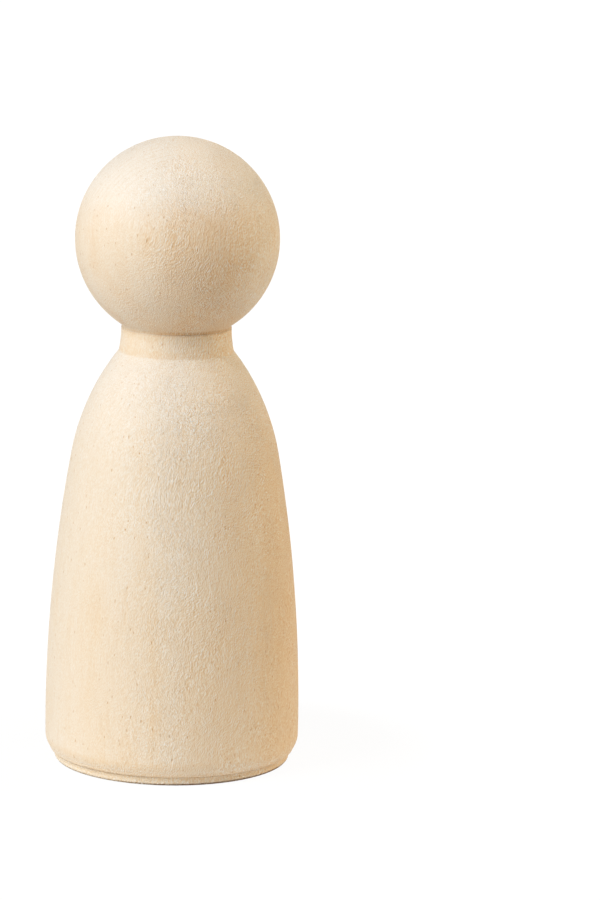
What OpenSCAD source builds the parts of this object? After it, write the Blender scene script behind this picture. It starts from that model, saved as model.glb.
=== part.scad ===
// Plain wooden peg doll: a turned bell-shaped body with a short collar, a ball head
// pinned to the collar by a glued dowel, and a thin foot disc glued under the body.
// All lengths are in millimetres. The origin is the middle of the foot disc's underside,
// and +Z points up along the turning axis.

/* [Foot disc] */
// Diameter of the disc that the doll stands on
foot_d = 33.8; // [31:0.1:34.8]
// Thickness of the disc
foot_h = 1.3; // [0.8:0.1:3]
// Size of the chamfer round the disc's lower edge
foot_chamfer = 0.25; // [0.1:0.05:0.6]
// Diameter of the spigot that centres the disc in the body
spigot_d = 12; // [8:0.5:20]
// Length of the spigot
spigot_l = 4; // [2:0.5:8]
// Size of the chamfer round the spigot's end
spigot_chamfer = 0.5; // [0.2:0.1:1]

/* [Body] */
// Height of the body, from its underside to the top of its collar
body_h = 61.4; // [56:0.1:72]
// Diameter of the body's underside
hem_d = 35; // [33.6:0.1:35.8]
// Height of the rolled lower edge
hem_h = 2.3; // [1:0.1:4]
// Diameter of the body at its widest
hip_d = 36.5; // [35.6:0.1:42]
// Height of the widest place above the underside
hip_h = 4.3; // [3:0.1:10]
// Diameter where the long curve of the side meets the round of the shoulder
chest_d = 29.6; // [27.5:0.1:33]
// Height of that place above the underside
chest_h = 43.2; // [37:0.1:47]

/* [Collar] */
// Height of the collar, from the shoulder to the head
collar_h = 3.4; // [2:0.1:6]
// Diameter of the collar at its top
collar_top_d = 15.7; // [14.6:0.1:16.3]
// Diameter of the collar where it meets the shoulder
collar_foot_d = 16.4; // [15.8:0.1:18]

/* [Head] */
// Diameter of the ball
head_d = 29.0; // [24:0.1:34]
// Height of the slice taken off under the ball for its flat seat
seat_cut = 1.9; // [1.2:0.1:2.4]

/* [Neck dowel] */
// Diameter of the dowel pin
dowel_d = 6; // [4:0.5:8]
// Length of the dowel pin, half of it in each piece
dowel_l = 20; // [12:1:30]
// Size of the chamfer round each end of the pin
dowel_chamfer = 0.8; // [0.3:0.1:1.2]
// Number of glue flutes along the pin
flute_count = 12; // [6:1:16]
// Radius of each flute
flute_r = 0.6; // [0.3:0.1:0.8]
// Depth of each flute
flute_depth = 0.2; // [0.1:0.05:0.3]
// Size of the countersink at the mouth of each dowel bore
countersink = 0.5; // [0.2:0.1:1]

/* [Glue joints] */
// Gap all round a pin or a spigot in its bore
glue_gap = 0.05; // [0.02:0.01:0.15]
// Empty depth past the end of a pin or a spigot
glue_pocket = 0.8; // [0.4:0.1:2]

/* [Hidden] */

// Steps round a full turn, and round the very large circles of the outline
$fn = 180;
outline_steps = 1440;

// How far each cut runs past the face that it opens
overrun = 1;

head_colour = [0.93, 0.84, 0.69];
body_colour = [0.94, 0.86, 0.72];
foot_colour = [0.88, 0.78, 0.62];
dowel_colour = [0.80, 0.64, 0.44];

// Heights of the stack, from the table up
underside_z = foot_h;
hem_z = underside_z + hem_h;
hip_z = underside_z + hip_h;
chest_z = underside_z + chest_h;
seat_z = underside_z + body_h;
shoulder_z = seat_z - collar_h;
head_z = seat_z + head_d / 2 - seat_cut;

// The side is one large arc, upright at the widest place, that passes through the chest
flank_in = (hip_d - chest_d) / 2;
flank_up = chest_h - hip_h;
flank_r = (flank_up * flank_up + flank_in * flank_in) / (2 * flank_in);
flank_centre = [hip_d / 2 - flank_r, hip_z];

// Ends of the shoulder and of the rolled edge, as [radius, height]
chest = [chest_d / 2, chest_z];
collar_foot = [collar_foot_d / 2, shoulder_z];
hem_top_r = flank_centre.x + sqrt(flank_r * flank_r - (hip_h - hem_h) * (hip_h - hem_h));
hem_top = [hem_top_r, hem_z];
hem_foot = [hem_d / 2, underside_z];

// The collar is hollowed by an arc that is upright at its top
flare_out = (collar_foot_d - collar_top_d) / 2;
flare_r = (collar_h * collar_h + flare_out * flare_out) / (2 * flare_out);
flare_centre = [collar_top_d / 2 + flare_r, seat_z];

bore_d = dowel_d + 2 * glue_gap;
bore_depth = dowel_l / 2 + glue_pocket;

// Radius and centre of the arc that leaves the side smoothly at one point
// and ends at another
function blend_r(start, end) =
    let (inward = (flank_centre - start) / flank_r, reach = end - start)
    reach * reach / (2 * reach * inward);
function blend_centre(start, end) =
    start + (flank_centre - start) / flank_r * blend_r(start, end);

// Part of the outline between two heights, bounded outside by an arc
module arc_band(centre, radius, low_z, high_z) {
    band_h = high_z - low_z;
    intersection() {
        translate(centre)
            circle(r = radius, $fn = outline_steps);
        translate([0, low_z])
            square([centre.x + radius, band_h]);
    }
    if (centre.x > 0)
        translate([0, low_z])
            square([centre.x, band_h]);
}

// Hollow-sided collar
module collar_outline() {
    difference() {
        translate([0, shoulder_z])
            square([collar_foot_d / 2, collar_h]);
        translate(flare_centre)
            circle(r = flare_r, $fn = outline_steps);
    }
}

// Half section of the solid body: collar, shoulder, long side and rolled lower edge
module body_outline() {
    collar_outline();
    arc_band(blend_centre(chest, collar_foot), blend_r(chest, collar_foot), chest_z, shoulder_z);
    arc_band(flank_centre, flank_r, hem_z, chest_z);
    arc_band(blend_centre(hem_top, hem_foot), blend_r(hem_top, hem_foot), underside_z, hem_z);
}

// Blind dowel bore with a countersunk mouth, going up from the height z = 0
module dowel_bore() {
    translate([0, 0, -overrun])
        cylinder(d = bore_d, h = bore_depth + overrun);
    cylinder(d1 = bore_d + 2 * countersink, d2 = bore_d, h = countersink);
    translate([0, 0, -overrun])
        cylinder(d = bore_d + 2 * countersink, h = overrun);
}

// Ball head with its flat seat
module head() {
    color(head_colour)
        difference() {
            translate([0, 0, head_z])
                sphere(d = head_d);
            translate([0, 0, seat_z - head_d])
                cylinder(d = head_d + overrun, h = head_d);
            translate([0, 0, seat_z])
                dowel_bore();
        }
}

// Fluted dowel pin, half in the head and half in the body
module neck_dowel() {
    end_d = dowel_d - 2 * dowel_chamfer;
    color(dowel_colour)
        translate([0, 0, seat_z - dowel_l / 2])
            difference() {
                union() {
                    cylinder(d1 = end_d, d2 = dowel_d, h = dowel_chamfer);
                    translate([0, 0, dowel_chamfer])
                        cylinder(d = dowel_d, h = dowel_l - 2 * dowel_chamfer);
                    translate([0, 0, dowel_l - dowel_chamfer])
                        cylinder(d1 = dowel_d, d2 = end_d, h = dowel_chamfer);
                }
                for (flute = [0 : flute_count - 1])
                    rotate(flute * 360 / flute_count)
                        translate([dowel_d / 2 + flute_r - flute_depth, 0, -overrun])
                            cylinder(r = flute_r, h = dowel_l + 2 * overrun);
            }
}

// Turned body with its collar, a bore for the dowel and a recess for the foot's spigot
module body() {
    recess_d = spigot_d + 2 * glue_gap;
    recess_h = spigot_l + glue_pocket;
    color(body_colour)
        difference() {
            rotate_extrude()
                body_outline();
            translate([0, 0, seat_z])
                mirror([0, 0, 1])
                    dowel_bore();
            translate([0, 0, underside_z - overrun])
                cylinder(d = recess_d, h = recess_h + overrun);
        }
}

// Thin foot disc with a chamfered lower edge and a centring spigot
module foot_disc() {
    color(foot_colour) {
        cylinder(d1 = foot_d - 2 * foot_chamfer, d2 = foot_d, h = foot_chamfer);
        translate([0, 0, foot_chamfer])
            cylinder(d = foot_d, h = foot_h - foot_chamfer);
        translate([0, 0, foot_h])
            cylinder(d = spigot_d, h = spigot_l - spigot_chamfer);
        translate([0, 0, foot_h + spigot_l - spigot_chamfer])
            cylinder(d1 = spigot_d, d2 = spigot_d - 2 * spigot_chamfer, h = spigot_chamfer);
    }
}

head();
neck_dowel();
body();
foot_disc();
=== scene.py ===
"""Plain wooden peg doll on a pale floor, under soft studio light.

The ball head, the bell-shaped body and the foot disc are turned again from their outlines
as dense meshes with the fine unevenness of sanded wood. The dowel inside keeps its frame
mesh. Lengths are in metres, apart from those of the wood's pattern in the materials, which
are in millimetres.
"""

import math
from types import SimpleNamespace

import bmesh
import bpy
from mathutils import Euler, Matrix, Quaternion, Vector, noise


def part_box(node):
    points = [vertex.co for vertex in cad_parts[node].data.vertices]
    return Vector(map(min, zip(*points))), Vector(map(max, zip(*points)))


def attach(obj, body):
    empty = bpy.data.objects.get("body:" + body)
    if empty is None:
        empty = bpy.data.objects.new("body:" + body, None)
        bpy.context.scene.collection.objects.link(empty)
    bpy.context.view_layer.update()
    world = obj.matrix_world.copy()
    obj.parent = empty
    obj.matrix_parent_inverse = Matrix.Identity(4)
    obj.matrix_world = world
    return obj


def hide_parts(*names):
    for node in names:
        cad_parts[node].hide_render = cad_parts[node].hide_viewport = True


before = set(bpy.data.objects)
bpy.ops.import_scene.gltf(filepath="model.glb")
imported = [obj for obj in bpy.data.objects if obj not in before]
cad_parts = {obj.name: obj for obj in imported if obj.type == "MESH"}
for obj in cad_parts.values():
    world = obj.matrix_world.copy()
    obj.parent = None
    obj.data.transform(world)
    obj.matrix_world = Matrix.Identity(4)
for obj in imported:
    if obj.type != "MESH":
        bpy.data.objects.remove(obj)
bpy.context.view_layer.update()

MM = 0.001

# Sizes read from the frame
head_low, head_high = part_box("head")
body_low, body_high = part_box("body")
foot_low, foot_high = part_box("foot_disc")
dowel_low, dowel_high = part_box("neck_dowel")

seat_z = head_low.z
ball_r = (head_high.x - head_low.x) / 2
ball_z = head_high.z - ball_r
underside_z = body_low.z
hip_r = (body_high.x - body_low.x) / 2
foot_r = (foot_high.x - foot_low.x) / 2
spigot_top_z = foot_high.z

# Sizes of the outlines that a box doesn't show
collar_h = 3.4 * MM
collar_top_r = 7.85 * MM
collar_foot_r = 8.2 * MM
shoulder_z = seat_z - collar_h
chest_r = 14.8 * MM
chest_z = underside_z + 43.2 * MM
hip_z = underside_z + 4.3 * MM
hem_r = 17.5 * MM
hem_z = underside_z + 2.3 * MM
hem_lip = 0.45 * MM
lip_lean = 0.12 * MM
foot_chamfer = 0.25 * MM
seat_rim = 0.36 * MM
rim_r = math.sqrt(ball_r ** 2 - (ball_z - seat_z - seat_rim) ** 2)
spigot_r = 6 * MM
spigot_chamfer = 0.5 * MM
glue_gap = 0.05 * MM
glue_pocket = 0.8 * MM
countersink = 0.5 * MM
bore_r = 3 * MM + glue_gap
bore_depth = (dowel_high.z - dowel_low.z) / 2 + glue_pocket

# How far the rounding of an edge reaches from its corner
seat_round = 0.06 * MM
collar_foot_round = 0.1 * MM
lip_round = 0.4 * MM
foot_round = 0.28 * MM

# Spacing of the mesh along an outline, up the foot's wall, and round a turned piece
spacing = 0.27 * MM
wall_spacing = 0.1 * MM
head_steps = 320
body_steps = 400
foot_steps = 480


def arc(centre, start, end):
    """Points on the arc round centre from start to end, both included."""
    first, last = start - centre, end - centre
    angle = math.atan2(first.y, first.x)
    sweep = (math.atan2(last.y, last.x) - angle + math.pi) % math.tau - math.pi
    radius = first.length
    count = max(2, round(abs(sweep) * radius / spacing))
    angles = [angle + sweep * i / count for i in range(count + 1)]
    return [centre + radius * Vector((math.cos(a), math.sin(a))) for a in angles]


def soft_corner(before, corner, after, reach, count=5):
    """Points that round a corner off, starting reach before it and ending reach after it."""
    start = corner + (before - corner).normalized() * reach
    end = corner + (after - corner).normalized() * reach
    shares = [i / count for i in range(count + 1)]
    return [start * (1 - s) ** 2 + corner * 2 * s * (1 - s) + end * s ** 2 for s in shares]


def blend_arc(flank_centre, start, end):
    """The arc that leaves the side smoothly at start and passes through end."""
    inward = (flank_centre - start).normalized()
    reach = end - start
    radius = reach.length_squared / (2 * reach.dot(inward))
    return arc(start + inward * radius, start, end)


def joined(*stretches):
    """One outline from several stretches, without points that all but meet."""
    least_step = spacing * 0.2
    outline = []
    for stretch in stretches:
        for point in stretch:
            if not outline or (point - outline[-1]).length > least_step:
                outline.append(point)
    return outline


def turned(outline, steps):
    """A closed mesh turned round the vertical axis from an outline that starts and ends on it.
    An eighth is spun, then doubled three times."""
    doublings = 3
    shares = 2 ** doublings
    share_angle = math.tau / shares
    form = bmesh.new()
    verts = [form.verts.new((point.x, 0, point.y)) for point in outline]
    for a, b in zip(verts, verts[1:]):
        form.edges.new((a, b))
    line = form.verts[:] + form.edges[:]
    bmesh.ops.spin(form, geom=line, axis=(0, 0, 1), angle=share_angle, steps=steps // shares)
    for doubling in range(doublings):
        whole = form.verts[:] + form.edges[:] + form.faces[:]
        copy = bmesh.ops.duplicate(form, geom=whole)["geom"]
        copied = [item for item in copy if isinstance(item, bmesh.types.BMVert)]
        turn = Matrix.Rotation(share_angle * 2 ** doubling, 3, "Z")
        bmesh.ops.rotate(form, verts=copied, cent=(0, 0, 0), matrix=turn)
        bmesh.ops.remove_doubles(form, verts=form.verts, dist=0.001 * MM)
    bmesh.ops.recalc_face_normals(form, faces=form.faces)
    for face in form.faces:
        face.smooth = True
    return form


# Outlines as (radius, height)


def head_outline():
    """Top of the ball, its side, the seat's rim and the bore."""
    top = Vector((0, ball_z + ball_r))
    centre = Vector((0, ball_z))
    seat_edge = Vector((rim_r, seat_z))
    mouth = Vector((bore_r + countersink, seat_z))
    ball = arc(centre, top, Vector((rim_r, seat_z + seat_rim)))
    edge = soft_corner(ball[-1], seat_edge, mouth, seat_round)
    bore = [
        mouth,
        Vector((bore_r, seat_z + countersink)),
        Vector((bore_r, seat_z + bore_depth)),
        Vector((0, seat_z + bore_depth)),
    ]
    return joined(ball, edge, bore)


def body_outline():
    """Bore, collar, shoulder, side, rolled lower edge and recess."""
    flank_in = hip_r - chest_r
    flank_up = chest_z - hip_z
    flank_r = (flank_up ** 2 + flank_in ** 2) / (2 * flank_in)
    flank_centre = Vector((hip_r - flank_r, hip_z))
    chest = Vector((chest_r, chest_z))
    collar_top = Vector((collar_top_r, seat_z))
    collar_foot = Vector((collar_foot_r, shoulder_z))
    hem_top = Vector((flank_centre.x + math.sqrt(flank_r ** 2 - (hip_z - hem_z) ** 2), hem_z))
    hem_foot = Vector((hem_r, underside_z))
    lip_top = Vector((hem_r + lip_lean, underside_z + hem_lip))
    flare_out = collar_foot_r - collar_top_r
    flare_r = (collar_h ** 2 + flare_out ** 2) / (2 * flare_out)
    mouth = Vector((bore_r + countersink, seat_z))
    bore = [
        Vector((0, seat_z - bore_depth)),
        Vector((bore_r, seat_z - bore_depth)),
        Vector((bore_r, seat_z - countersink)),
        mouth,
    ]
    recess_r = spigot_r + glue_gap
    recess_z = spigot_top_z + glue_pocket
    recess = [
        Vector((recess_r, underside_z)),
        Vector((recess_r, recess_z)),
        Vector((0, recess_z)),
    ]
    flare = arc(Vector((collar_top_r + flare_r, seat_z)), collar_top, collar_foot)
    shoulder = blend_arc(flank_centre, chest, collar_foot)[::-1]
    flank = arc(flank_centre, chest, hem_top)
    hem = blend_arc(flank_centre, hem_top, lip_top)
    return joined(
        bore,
        soft_corner(mouth, collar_top, flare[1], seat_round),
        flare[1:-1],
        soft_corner(flare[-2], collar_foot, shoulder[1], collar_foot_round),
        shoulder[1:],
        flank,
        hem,
        soft_corner(lip_top, hem_foot, recess[0], lip_round),
        recess,
    )


def foot_outline():
    """Spigot, top, wall, chamfer and underside. The wall starts below its rounded upper edge,
    and a ring inside the chamfer keeps its edge crisp."""
    spigot_foot = Vector((spigot_r, underside_z))
    spigot = [
        Vector((0, spigot_top_z)),
        Vector((spigot_r - spigot_chamfer, spigot_top_z)),
        Vector((spigot_r, spigot_top_z - spigot_chamfer)),
        spigot_foot,
    ]
    top_edge = Vector((foot_r, underside_z))
    low_edge = Vector((foot_r, foot_chamfer))
    rows = max(2, round((underside_z - foot_chamfer) / wall_spacing))
    first_row = 3
    wall = [top_edge.lerp(low_edge, i / rows) for i in range(first_row, rows)]
    underside = [
        low_edge,
        Vector((foot_r - foot_chamfer, 0)),
        Vector((foot_r - 2 * foot_chamfer, 0)),
        Vector((0, 0)),
    ]
    return joined(spigot, soft_corner(spigot_foot, top_edge, low_edge, foot_round), wall, underside)


# Unevenness left by turning and sanding, always cut inwards

# Height over which it fades out towards a joint
joint_fade = 0.4 * MM


def smooth_share(value, low, high):
    """0 below low, 1 above high, and a smooth rise between them."""
    share = min(1, max(0, (value - low) / (high - low)))
    return share * share * (3 - 2 * share)


def waves(place):
    """Smooth noise from 0 to 1, with waves about 1 long."""
    return noise.noise(place) * 0.5 + 0.5


def streaked(point, across, along, seed):
    """Waves that are drawn out along the grain."""
    return waves(Vector((point.x / across, point.y / across, point.z / along + seed)))


def sanded(point, seed):
    """Depth of the sanded surface under the true form."""
    slow = waves(point / (7 * MM) + Vector((seed, 0, 0)))
    grain = streaked(point, 0.9 * MM, 7 * MM, seed + 11)
    fine = streaked(point, 0.55 * MM, 2.5 * MM, seed + 23)
    return 0.035 * MM * slow + 0.012 * MM * grain + 0.008 * MM * fine


def head_depth(point):
    """Sanding of the ball. The seat and the bore stay plain."""
    radius = math.hypot(point.x, point.y)
    shown = 1 if radius > rim_r - 0.1 * MM or point.z > ball_z else 0
    return sanded(point, 3) * shown * smooth_share(point.z, seat_z, seat_z + joint_fade)


def body_depth(point):
    """Sanding of the collar and the side. The bore and the recess stay plain."""
    radius = math.hypot(point.x, point.y)
    shown = 1 if radius > collar_top_r - 0.4 * MM else 0
    below = smooth_share(seat_z - point.z, 0, joint_fade)
    above = smooth_share(point.z - underside_z, 0, joint_fade)
    return sanded(point, 41) * shown * below * above


def foot_depth(point):
    """Torn grain round the foot's wall and chamfer."""
    radius = math.hypot(point.x, point.y)
    edge = smooth_share(radius, foot_r - 1.2 * foot_chamfer, foot_r - 0.2 * foot_chamfer)
    torn = waves(point / (0.38 * MM))
    slow = waves(point / (2.5 * MM))
    below_top = smooth_share(underside_z - point.z, -0.01 * MM, 0.1 * MM)
    return (0.05 * torn + 0.05 * slow) * MM * edge * below_top


def carve(form, depth):
    """Moves each vertex inwards, along its normal, by depth(point)."""
    form.normal_update()
    moves = [vert.normal * -depth(vert.co) for vert in form.verts]
    for vert, move in zip(form.verts, moves):
        vert.co += move


# Shader nodes


def add(tree, kind, inputs=None, **settings):
    """Adds a node. An input takes a number, a colour or another node's output."""
    node = tree.nodes.new("ShaderNode" + kind)
    for name, value in settings.items():
        setattr(node, name, value)
    for name, value in (inputs or {}).items():
        if isinstance(value, bpy.types.NodeSocket):
            tree.links.new(value, node.inputs[name])
        else:
            node.inputs[name].default_value = value
    return node


def maths(tree, operation, first, *others):
    """The first value put through a Math node, once with each of the others."""
    for other in others or (0.0,):
        first = add(tree, "Math", {0: first, 1: other}, operation=operation).outputs[0]
    return first


def plus(tree, *values):
    return maths(tree, "ADD", *values)


def times(tree, *values):
    return maths(tree, "MULTIPLY", *values)


def greatest(tree, *values):
    return maths(tree, "MAXIMUM", *values)


def ramped(tree, value, low, high, start=0.0, end=1.0):
    """value brought smoothly from low..high to start..end."""
    inputs = {"Value": value, "From Min": low, "From Max": high, "To Min": start, "To Max": end}
    return add(tree, "MapRange", inputs, interpolation_type="SMOOTHSTEP").outputs[0]


def mixed(tree, share, a, b):
    """Colour a turned into colour b by share."""
    return add(tree, "Mix", {0: share, 6: a, 7: b}, data_type="RGBA").outputs[2]


def rgb(r, g, b):
    return (r, g, b, 1.0)


def vector_maths(tree, operation, a, b, output="Vector"):
    return add(tree, "VectorMath", {0: a, 1: b}, operation=operation).outputs[output]


def stretched(tree, place, across, along):
    """Coordinates for a pattern of that size across and along the grain."""
    return vector_maths(tree, "MULTIPLY", place, (1 / across, 1 / across, 1 / along))


def moved(tree, place, offset):
    return vector_maths(tree, "ADD", place, offset)


def distance(tree, place):
    """Length of the way from the origin to place."""
    return add(tree, "VectorMath", {0: place}, operation="LENGTH").outputs["Value"]


def from_axis(tree, place):
    """Distance of place from the z axis."""
    return distance(tree, vector_maths(tree, "MULTIPLY", place, (1, 1, 0)))


def apart(tree, value, middle):
    """How far value is from middle, either way."""
    return maths(tree, "ABSOLUTE", maths(tree, "SUBTRACT", value, middle))


def noise_at(tree, place, across, along, detail=0.0, roughness=0.5):
    """Noise from 0 to 1, with its size in millimetres across and along the grain."""
    place = stretched(tree, place, across, along)
    inputs = {"Vector": place, "Scale": 1.0, "Detail": detail, "Roughness": roughness}
    return add(tree, "TexNoise", inputs).outputs[0]


def drift(tree, place, scale, detail, reach):
    """An offset that changes slowly from place to place, up to about reach each way."""
    inputs = {"Vector": place, "Scale": scale, "Detail": detail}
    bends = add(tree, "TexNoise", inputs, normalize=False).outputs["Color"]
    return vector_maths(tree, "MULTIPLY", bends, (reach, reach, reach))


# Fibres, fuzz and pits of the wood, in millimetres


def leaned(tree, place, tilt, seed):
    """place tilted out of the grain, in a part of the pattern picked by the seed."""
    inputs = {"Vector": place, "Location": (seed, seed, seed), "Rotation": (0, tilt, 0)}
    return add(tree, "Mapping", inputs).outputs[0]


def strokes(tree, place, tilt, across, along, seed):
    """Short ridges of fibre that lean out of the grain by tilt."""
    own = leaned(tree, place, tilt, seed)
    return ramped(tree, noise_at(tree, own, across, along), 0.4, 0.75)


def fibres_at(tree, place, along):
    """Height of the fibres, 0 to about 1. Long ones show where the surface runs with the grain."""
    leaning = strokes(tree, place, -0.42, 0.128, 0.34, 5.3)
    upright = strokes(tree, place, -0.05, 0.12, 0.45, 17.9)
    long_share = ramped(tree, along, 0.0, 1.0, 0.08, 0.3)
    long = times(tree, noise_at(tree, place, 0.15, 1.6), long_share)
    return plus(tree, greatest(tree, leaning, upright), long)


def hairs(tree, place, tilt, size, stretch, share, seed):
    """Curled fibres: broken stretches of the bent walls between cells of that size across the
    grain, and stretch times as long. The higher the share, the fewer of them."""
    own = leaned(tree, place, tilt, seed)
    bent = moved(tree, own, drift(tree, own, 1.3, 0.0, 0.3))
    cells = {"Vector": stretched(tree, bent, size, size * stretch), "Scale": 1.0}
    walls = add(tree, "TexVoronoi", cells, feature="DISTANCE_TO_EDGE").outputs["Distance"]
    walls = ramped(tree, walls, 0.06 / size, 0.015 / size)
    broken = noise_at(tree, own, 0.5, 0.47 * stretch)
    return times(tree, walls, ramped(tree, broken, share, share + 0.06))


def fuzz_at(tree, place):
    """Raised fibres of three sizes, leaning out of the grain."""
    short = hairs(tree, place, -0.5, 0.42, 3, 0.54, 3.7)
    middling = hairs(tree, place, -0.12, 0.65, 3, 0.55, 41.3)
    long = hairs(tree, place, -0.22, 0.6, 7, 0.56, 23.9)
    return greatest(tree, short, middling, long)


def spots(tree, place, scale, edge, core, from_lot):
    """Spots that fade in from edge to core. A cell has one where its drawn lot, from 0 to 1, is
    over from_lot."""
    cells = add(tree, "TexVoronoi", {"Vector": place, "Scale": scale})
    lot = add(tree, "SeparateColor", {0: cells.outputs["Color"]}).outputs[0]
    shown = maths(tree, "GREATER_THAN", lot, from_lot)
    return times(tree, ramped(tree, cells.outputs["Distance"], edge, core), shown)


# The wood

# Way roughly towards the left softbox: the left front, and a little up. The painted texture is
# fainter on the side that faces it, as painted light washing the texture out
key_light_way = (-0.85, -0.45, 0.25)

# How far to the side of a fibre, and of a curled one, its painted shade lies: on the side turned
# away from the left softbox, so that each is painted as lit from there
fibre_shade_offset = (0.07, 0.03, -0.06)
curl_shadow_offset = (-0.13, -0.05, 0.1)

# Size of the patches in which growth rings show
ring_patch = 1 / 0.22

pale_wood = rgb(0.885, 0.76, 0.60)
golden_wood = rgb(0.87, 0.69, 0.48)
deep_wood = rgb(0.69, 0.46, 0.25)
# Pale end grain colour, which also paints the light from above
end_grain_top_light_wood = rgb(0.91, 0.84, 0.75)
fleck_brown = rgb(0.55, 0.33, 0.14)
# Colour of the painted contact shadow on the foot's lower edge
contact_shade_brown = rgb(0.26, 0.13, 0.045)
sheen_cream = rgb(1.0, 0.95, 0.88)


def grain_space(tree, pith, lean):
    """What the wood's pattern is laid out by. place is in millimetres, with z along the grain
    and the pith on the z axis, and swayed is place with the grain's slow bends. coords, x and
    height are in metres. up and facing_key_light say how far the surface faces up and how far
    it faces roughly towards the left softbox, from -1 to 1, and end_grain and along how it cuts
    the grain, from 0 to 1."""
    coords = add(tree, "TexCoord").outputs["Object"]
    sides = add(tree, "SeparateXYZ", {0: coords}).outputs
    to_mm = (1 / MM, 1 / MM, 1 / MM)
    laid = {"Vector": coords, "Location": pith, "Rotation": (lean, 0, 0), "Scale": to_mm}
    place = add(tree, "Mapping", laid).outputs[0]
    sway = drift(tree, place, 0.09, 1.0, 1.5)
    normal = add(tree, "NewGeometry").outputs["Normal"]
    up = add(tree, "SeparateXYZ", {0: normal}).outputs["Z"]
    grain_way = (0, math.sin(lean), math.cos(lean))
    tilt = vector_maths(tree, "DOT_PRODUCT", normal, grain_way, "Value")
    return SimpleNamespace(
        coords=coords,
        x=sides["X"],
        height=sides["Z"],
        place=place,
        sway=sway,
        swayed=moved(tree, place, sway),
        up=up,
        end_grain=ramped(tree, up, 0.05, 0.7),
        along=ramped(tree, maths(tree, "ABSOLUTE", tilt), 0.36, 0.06),
        facing_key_light=vector_maths(tree, "DOT_PRODUCT", normal, key_light_way, "Value"),
    )


def growth_rings(tree, wood, ring_w):
    """A slow rise to a thin darker line, clearest in patches and where the cut crosses them."""
    bend = vector_maths(tree, "MULTIPLY", wood.sway, (0.25, 0.25, 0.25))
    from_pith = from_axis(tree, moved(tree, wood.place, bend))
    phase = maths(tree, "FRACT", maths(tree, "DIVIDE", from_pith, ring_w))
    rise = ramped(tree, phase, 0.45, 0.93)
    fall = ramped(tree, phase, 1.0, 0.95)
    patches = noise_at(tree, wood.place, ring_patch, ring_patch, 1.0)
    patches = ramped(tree, patches, 0.35, 0.65, 0.15, 1.0)
    crossed = ramped(tree, wood.up, 0.1, 0.45, 0.1, 1.0)
    return times(tree, rise, fall, patches, crossed)


def raised_share(tree, wood, fuzz):
    """How far sanding has raised the surface: unevenly, least low down, and least on the side
    that faces the left softbox, which paints that lamp's light washing the texture out.
    """
    uneven = noise_at(tree, wood.place, 5, 5, 2.0, 0.6)
    uneven = ramped(tree, uneven, 0.3, 0.65, 0.75 * fuzz, fuzz)
    # Fainter where the surface faces the left softbox and stronger where it faces away: painted
    # light washing the texture out on the lit side
    left = ramped(tree, wood.facing_key_light, 0.35, 0.95, 0.98, 0.36)
    right = ramped(tree, wood.facing_key_light, 0.3, 0.0, 1.0, 1.12)
    low_down = ramped(tree, wood.height, 5 * MM, 50 * MM, 0.8, 1.04)
    across = ramped(tree, wood.along, 0.0, 1.0, 1.1, 0.9)
    return times(tree, uneven, left, right, low_down, across)


def texture_of(tree, wood):
    """Fibres, fuzz, streaks, pits and rare brown flecks. Fibres and fuzz are also taken a
    little to the side, away from the left softbox, for the painted highlight and painted shade on
    their sides and the painted shadow next to each curl."""
    fibres = fibres_at(tree, wood.swayed, wood.along)
    fibres_at_shade_offset = fibres_at(tree, moved(tree, wood.swayed, fibre_shade_offset), wood.along)
    curls = fuzz_at(tree, wood.swayed)
    curls_at_shade_offset = fuzz_at(tree, moved(tree, wood.swayed, curl_shadow_offset))
    return SimpleNamespace(
        fibres=fibres,
        painted_slope_light=maths(tree, "SUBTRACT", fibres_at_shade_offset, fibres),
        curls=curls,
        painted_curl_shadow=greatest(tree, maths(tree, "SUBTRACT", curls_at_shade_offset, curls), 0.0),
        streaks=noise_at(tree, wood.swayed, 0.9, 16, 3.0, 0.6),
        pits=spots(tree, stretched(tree, wood.swayed, 0.6, 1.9), 1.0, 0.17, 0.08, 0.5),
        flecks=spots(tree, stretched(tree, wood.place, 0.8, 1.9), 0.26, 0.04, 0.02, 0.45),
    )


def belt(tree, wood, height, outer, inner, value):
    """value at a height all round the doll, fading out between inner and outer from it."""
    return ramped(tree, apart(tree, wood.height, height), outer, inner, 0.0, value)


def golden_share(tree, wood, bands, front, side):
    """How golden the wood is: in patches; in bands round it, some of which paint warm shade; in
    a broad stripe up its front and back, with the sides paler as painted rim light; and more on
    the right side than on the left, as painted warm light bounced onto the right and painted
    light at the far left."""
    patches = noise_at(tree, wood.place, 4, 22, 2.0)
    parts = [ramped(tree, patches, 0.4, 0.75, 0.0, 0.5)]
    for height, half, share in bands:
        parts.append(belt(tree, wood, height, 1.3 * half, 0.7 * half, share))
    # Golden down the front and back, and paler at the sides, as painted rim light
    if front:
        from_front = apart(tree, wood.x, 4 * MM)
        parts.append(ramped(tree, from_front, 9 * MM, 2 * MM, -1.5 * front, front))
    # More golden on the right, as painted warm light bounced onto it, and paler at the far left, as
    # painted light
    if side:
        parts.append(ramped(tree, wood.x, -1 * MM, 11 * MM, 0.0, side))
        parts.append(ramped(tree, wood.x, -14 * MM, -7 * MM, -0.4 * side, 0.0))
    return plus(tree, *parts)


def contact_shade_share(tree, wood, contact_shade_h):
    """Painted contact shadow on the foot's outer edge, up to a height, faint on the left, where the
    left softbox lights it.
    """
    low = ramped(tree, wood.height, contact_shade_h, 0.5 * contact_shade_h, 0.0, 0.95)
    radius = from_axis(tree, wood.coords)
    outer = ramped(tree, radius, foot_r - 0.5 * MM, foot_r - 0.25 * MM)
    right = ramped(tree, wood.x, -10 * MM, 2 * MM, 0.3, 1.0)
    return times(tree, low, outer, right)


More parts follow.
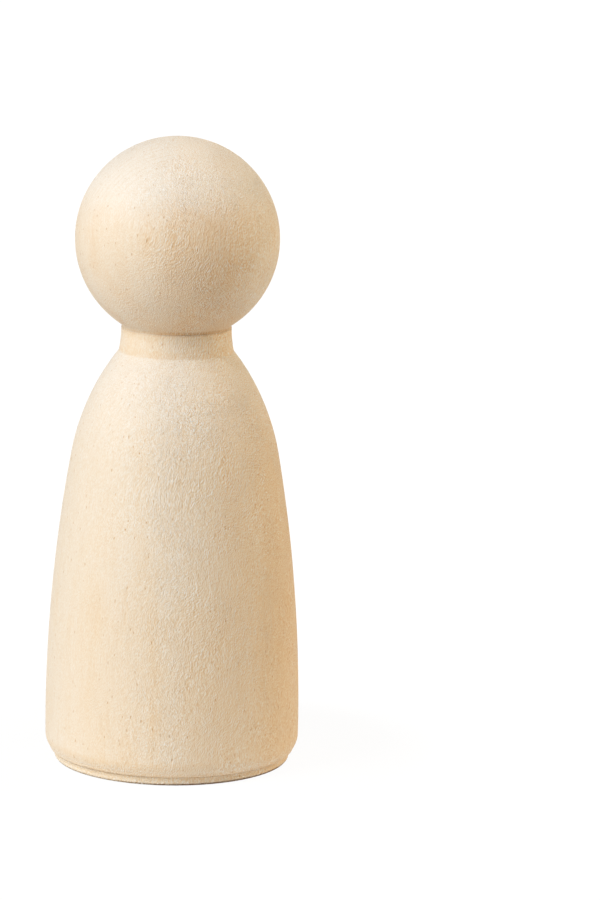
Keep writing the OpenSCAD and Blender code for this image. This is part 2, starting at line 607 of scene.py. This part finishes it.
def fibre_power(tree, wood, texture, worked):
    """What raised fibres add to the colour's power: a painted highlight on the side of each fibre
    that faces the left softbox and painted shade on its far side, a painted shadow next to each
    curl, and paler curls, partly their own paler fibre and partly painted highlight. On end grain
    they are a speckle too.
    """
    speckle = ramped(tree, noise_at(tree, wood.place, 0.13, 0.13), 0.25, 0.75, 0.5, -0.5)
    power = plus(
        tree,
        times(tree, texture.painted_slope_light, -1.05),
        times(tree, texture.curls, -0.3),
        times(tree, texture.painted_curl_shadow, 0.42),
        times(tree, speckle, wood.end_grain),
    )
    return times(tree, power, worked)


def line_power(tree, wood, streaking):
    """What fine lines along the grain add to the power, less on the side that faces the left
    softbox, as painted light washing them out.
    """
    lines = noise_at(tree, wood.swayed, 0.4, 7, 1.0)
    lines = ramped(tree, lines, 0.3, 0.7, -streaking, streaking)
    away_from_key_light = ramped(tree, wood.facing_key_light, 0.5, 0.95, 1.0, 0.4)
    return times(tree, lines, away_from_key_light, wood.along)


def raw_wood(
    name, pale, golden, deep, pith, lean=0.0, ring_w=1.6, rings=0.1, fuzz=1.0, streaking=0.08,
    golden_front_painted_rim=0.0, painted_side_light=0.0, bands=(), painted_light_shade=(), grit=0.0, contact_shade_h=0.0, shine=0.5,
):
    """Sanded, unvarnished, close-grained wood, as a solid pattern. The texture mostly changes the
    colour's power: pits and the side of each fibre turned away from the left softbox are painted
    deeper in colour, as shade, and the side turned towards it paler, as highlight.

    pith shifts the pattern, in millimetres, and lean tilts it, in radians. rings, streaking and
    grit are what growth rings ring_w wide, lines along the grain and coarse grains add to the
    power, and fuzz is how far sanding has raised the surface. golden_front_painted_rim,
    painted_side_light and bands make places more golden: a band is a height, a half width and a
    share. golden_front_painted_rim also makes the sides paler, as painted rim light,
    painted_side_light paints warm bounced light on the right side and light at the far left, and
    some bands paint warm shade. Each belt of painted_light_shade is a height, a half width and
    the power added there, which paints shade where it is over 0 and light where it is under 0.
    The outer edge is darkened up to contact_shade_h, as painted contact shadow, and shine is
    the specular level."""
    material = bpy.data.materials.new(name)
    material.use_nodes = True
    tree = material.node_tree
    tree.nodes.clear()

    wood = grain_space(tree, pith, lean)
    worked = raised_share(tree, wood, fuzz)
    texture = texture_of(tree, wood)
    grains = noise_at(tree, wood.place, 0.25, 0.25, 3.0, 0.65) if grit else None

    # Colour
    colour = mixed(tree, golden_share(tree, wood, bands, golden_front_painted_rim, painted_side_light), pale, golden)
    # Paler where the surface faces up: end grain, painted paler and cooler too as light from above
    colour = mixed(tree, times(tree, wood.end_grain, 0.7), colour, end_grain_top_light_wood)
    colour = mixed(tree, ramped(tree, texture.streaks, 0.5, 0.8, 0.0, 0.15), colour, deep)
    # Pits painted deeper in colour, as the shade inside them
    colour = mixed(tree, times(tree, texture.pits, 0.3), colour, deep)
    colour = mixed(tree, times(tree, texture.flecks, 0.6), colour, fleck_brown)
    # Painted contact shadow round the foot's lower edge
    if contact_shade_h:
        colour = mixed(tree, contact_shade_share(tree, wood, contact_shade_h), colour, contact_shade_brown)

    # Power of the colour, over 1 where it is deeper
    # Power 1, with the fibres' painted highlight and shade and the pits' painted shade
    powers = [fibre_power(tree, wood, texture, worked), 1.0, times(tree, texture.pits, 0.7)]
    # Belts of painted shade, and of painted light where the added power is under 0
    for height, half, added in painted_light_shade:
        powers.append(belt(tree, wood, height, half, 0.3 * half, added))
    # Deeper on the right flank, as painted warm bounced light and shade
    if painted_side_light:
        powers.append(ramped(tree, wood.x, 10.5 * MM, 16.5 * MM, 0.0, 0.45 * painted_side_light))
    powers.append(times(tree, growth_rings(tree, wood, ring_w), rings))
    powers.append(line_power(tree, wood, streaking))
    if grit:
        powers.append(ramped(tree, grains, 0.3, 0.7, grit, -grit))
    power = greatest(tree, plus(tree, *powers), 0.1)
    colour = add(tree, "Gamma", {"Color": colour, "Gamma": power}).outputs[0]

    # Relief, in millimetres of height
    raised = plus(tree, times(tree, texture.fibres, 0.035), times(tree, texture.curls, 0.04))
    heights = [
        times(tree, raised, worked),
        times(tree, texture.pits, -0.03),
        times(tree, texture.flecks, -0.05),
    ]
    if grit:
        heights.append(times(tree, grains, 0.12))
    bump = add(tree, "Bump", {"Strength": 1.0, "Distance": MM, "Height": plus(tree, *heights)})

    skin = add(tree, "BsdfPrincipled", {
        "Base Color": colour,
        "Roughness": ramped(tree, texture.streaks, 0.3, 0.7, 0.78, 0.62),
        "Specular IOR Level": shine,
        "Sheen Weight": 0.2 * shine,
        "Sheen Roughness": 0.5,
        "Sheen Tint": sheen_cream,
        "Normal": bump.outputs[0],
    })
    output = add(tree, "OutputMaterial")
    tree.links.new(skin.outputs[0], output.inputs["Surface"])
    return material


head_wood = raw_wood(
    "head_wood",
    pale_wood,
    rgb(0.85, 0.64, 0.42),
    deep_wood,
    pith=(7, -30, -73.9),
    lean=math.radians(11),
    ring_w=0.75,
    rings=0.25,
    fuzz=0.76,
    streaking=0.15,
    # Golden down the ball's front, and paler at its sides as painted rim light
    golden_front_painted_rim=0.3,
    # The second band paints warm shade low on the ball, above the seam
    bands=((ball_z + 0.7 * MM, 6 * MM, 0.6), (seat_z + 2.3 * MM, 5 * MM, 0.5)),
    # Painted shade in the seam under the ball and on the ball's lower side
    painted_light_shade=((seat_z + 0.1 * MM, 0.35 * MM, 0.35), (seat_z + 1.8 * MM, 4 * MM, 0.07)),
)
body_wood = raw_wood(
    "body_wood",
    pale_wood,
    golden_wood,
    deep_wood,
    pith=(17, -42, 0),
    ring_w=0.8,
    rings=0.16,
    fuzz=0.92,
    # Painted warm bounced light on the right side, and painted light at the far left
    painted_side_light=0.8,
    bands=(
        # The first two bands paint warm shade on the collar, under the ball
        (shoulder_z + 0.5 * MM, 0.5 * MM, 0.4),
        (shoulder_z + 1.9 * MM, 1.6 * MM, 0.5),
        (underside_z + 10.7 * MM, 14 * MM, 0.35),
        (underside_z + 0.9 * MM, 1.2 * MM, 0.5),
    ),
    # Painted shade at the seam on the collar's top and where the lower edge rolls in, painted light
    # on the collar's middle, and a painted highlight on the lower edge's lip
    painted_light_shade=(
        (seat_z - 0.1 * MM, 0.2 * MM, 0.35),
        (shoulder_z + 1.5 * MM, 1.6 * MM, -0.12),
        (underside_z + 0.8 * MM, 0.2 * MM, -0.1),
        (underside_z + 0.05 * MM, 0.4 * MM, 0.2),
    ),
)
foot_wood = raw_wood(
    "foot_wood",
    rgb(0.94, 0.80, 0.61),
    rgb(0.88, 0.70, 0.49),
    rgb(0.62, 0.44, 0.27),
    pith=(30, -20, 0),
    # Painted warm bounced light on the right side, and painted light at the far left
    painted_side_light=0.7,
    # Painted shade on the foot's wall and in the groove under the body's edge
    painted_light_shade=(
        (underside_z - 0.5 * MM, 0.25 * MM, 0.1),
        (underside_z - 0.05 * MM, 0.25 * MM, 0.35),
    ),
    grit=0.4,
    contact_shade_h=0.38 * MM,
    shine=0.1,
)
dowel_wood = raw_wood(
    "dowel_wood",
    rgb(0.68, 0.47, 0.27),
    rgb(0.62, 0.41, 0.22),
    rgb(0.42, 0.26, 0.13),
    pith=(20, 10, 0),
    ring_w=1.1,
)


# The doll


def turned_piece(name, outline, steps, depth, material):
    """Turns a piece from its outline, roughens it, and puts it in place of the CAD node of that
    name."""
    form = turned(outline, steps)
    carve(form, depth)
    mesh = bpy.data.meshes.new(name)
    form.to_mesh(mesh)
    form.free()
    piece = bpy.data.objects.new("turned_" + name, mesh)
    bpy.context.collection.objects.link(piece)
    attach(piece, "root")
    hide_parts(name)
    mesh.materials.append(material)


turned_piece("head", head_outline(), head_steps, head_depth, head_wood)
turned_piece("body", body_outline(), body_steps, body_depth, body_wood)
turned_piece("foot_disc", foot_outline(), foot_steps, foot_depth, foot_wood)
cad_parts["neck_dowel"].material_slots[0].material = dowel_wood

# Camera at the photograph's viewing angle. The doll stands left of the picture's middle, and
# the slight turn stands for the lean of the doll in the photograph.
camera_place = (17.8 * MM, -600 * MM, 163 * MM)
degrees_down = 11.11
degrees_turned = 1.0

camera_data = bpy.data.cameras.new("camera")
camera_data.lens = 171.6
camera_data.sensor_width = 36
camera_data.clip_start = 0.01
camera_data.clip_end = 20
camera = bpy.data.objects.new("camera", camera_data)
bpy.context.collection.objects.link(camera)
camera.location = camera_place
camera.rotation_mode = "QUATERNION"
pitched = Euler((math.radians(90 - degrees_down), 0, 0)).to_quaternion()
camera.rotation_quaternion = pitched @ Quaternion((0, 0, 1), math.radians(degrees_turned))
bpy.context.scene.camera = camera

# Studio lamps, all turned to the middle of the doll
doll_middle = Vector((0, 0, 45 * MM))


def softbox(name, place, size, watts, colour):
    """A square lamp that the camera doesn't see."""
    light = bpy.data.lights.new(name, "AREA")
    light.shape = "SQUARE"
    light.size = size
    light.energy = watts
    light.color = colour
    lamp = bpy.data.objects.new(name, light)
    bpy.context.collection.objects.link(lamp)
    lamp.visible_camera = False
    lamp.location = place
    lamp.rotation_euler = (doll_middle - Vector(place)).to_track_quat("-Z", "Y").to_euler()


softbox(
    "left_softbox", place=(-0.537, -0.362, 0.515), size=0.5, watts=5.38, colour=(0.945, 0.975, 1.0)
)
softbox("top_softbox", place=(0.0, -0.207, 0.818), size=0.5, watts=1.0, colour=(0.98, 0.98, 1.0))
softbox("right_reflector", place=(0.69, 0.16, 0.42), size=0.5, watts=3.5, colour=(1.0, 0.83, 0.56))
softbox("front_fill", place=(0.05, -0.75, 0.38), size=0.4, watts=0.5, colour=(1.0, 0.82, 0.54))

# White surroundings
room_light = 0.1
room_tint = rgb(1.0, 0.78, 0.55)
white = rgb(1.0, 1.0, 1.0)


def seen_share(tree, path):
    """1 for what the camera sees, also in gloss and through glass, and 0 for other light."""
    kinds = ("Is Camera Ray", "Is Glossy Ray", "Is Transmission Ray")
    return greatest(tree, *[path.outputs[kind] for kind in kinds])


def white_room():
    """A world that is full white to the camera, and dimmer and warmer as light."""
    world = bpy.data.worlds.new("white_room")
    world.use_nodes = True
    tree = world.node_tree
    tree.nodes.clear()
    seen = seen_share(tree, add(tree, "LightPath"))
    strength = ramped(tree, seen, 0.0, 1.0, room_light, 1.0)
    tint = mixed(tree, seen, room_tint, white)
    backdrop = add(tree, "Background", {"Color": tint, "Strength": strength})
    tree.links.new(backdrop.outputs[0], add(tree, "OutputWorld").inputs["Surface"])
    return world


bpy.context.scene.world = white_room()

# Pale floor that keeps the doll's shadow, and is clear when seen from below
floor_r = 3.0
floor_drop = 0.02 * MM
floor_grey = rgb(0.7, 0.7, 0.7)
glow_strength = 1.05


def floor_paint():
    """Grey that glows white. The camera sees a tenth of the shadow near the doll and none
    further out. Other light gets some glow from round the doll and from under it, which keeps
    the doll's lower edge and its underside from going dark."""
    paint = bpy.data.materials.new("white_floor")
    paint.use_nodes = True
    tree = paint.node_tree
    tree.nodes.clear()
    path = add(tree, "LightPath")
    seen = seen_share(tree, path)
    matt = add(tree, "BsdfDiffuse", {"Color": floor_grey})
    glow = add(tree, "Emission", {"Color": white, "Strength": glow_strength})

    from_doll = distance(tree, add(tree, "TexCoord").outputs["Object"])
    seen_white = times(tree, seen, ramped(tree, from_doll, 30 * MM, 55 * MM, 0.9, 1.0))
    contact_r = foot_r - 0.3 * MM
    clear_of_foot = greatest(tree, ramped(tree, from_doll, contact_r, foot_r + 0.5 * MM), seen)
    halo = times(tree, ramped(tree, from_doll, 80 * MM, 30 * MM, 0.0, 0.62), clear_of_foot)
    under_doll = ramped(tree, from_doll, contact_r, foot_r - 0.5 * MM, 0.0, 0.5)
    share = greatest(tree, seen_white, halo, under_doll)
    surface = add(tree, "MixShader", {0: share, 1: matt.outputs[0], 2: glow.outputs[0]})

    backfacing = add(tree, "NewGeometry").outputs["Backfacing"]
    from_below = times(tree, path.outputs["Is Camera Ray"], backfacing)
    clear = add(tree, "BsdfTransparent")
    surface = add(tree, "MixShader", {0: from_below, 1: surface.outputs[0], 2: clear.outputs[0]})
    tree.links.new(surface.outputs[0], add(tree, "OutputMaterial").inputs["Surface"])
    return paint


floor_form = bmesh.new()
bmesh.ops.create_circle(floor_form, cap_ends=True, segments=96, radius=floor_r)
floor_mesh = bpy.data.meshes.new("floor")
floor_form.to_mesh(floor_mesh)
floor_form.free()
floor = bpy.data.objects.new("floor", floor_mesh)
floor.location.z = -floor_drop
bpy.context.collection.objects.link(floor)
floor_mesh.materials.append(floor_paint())

bpy.context.scene.view_settings.view_transform = "Standard"
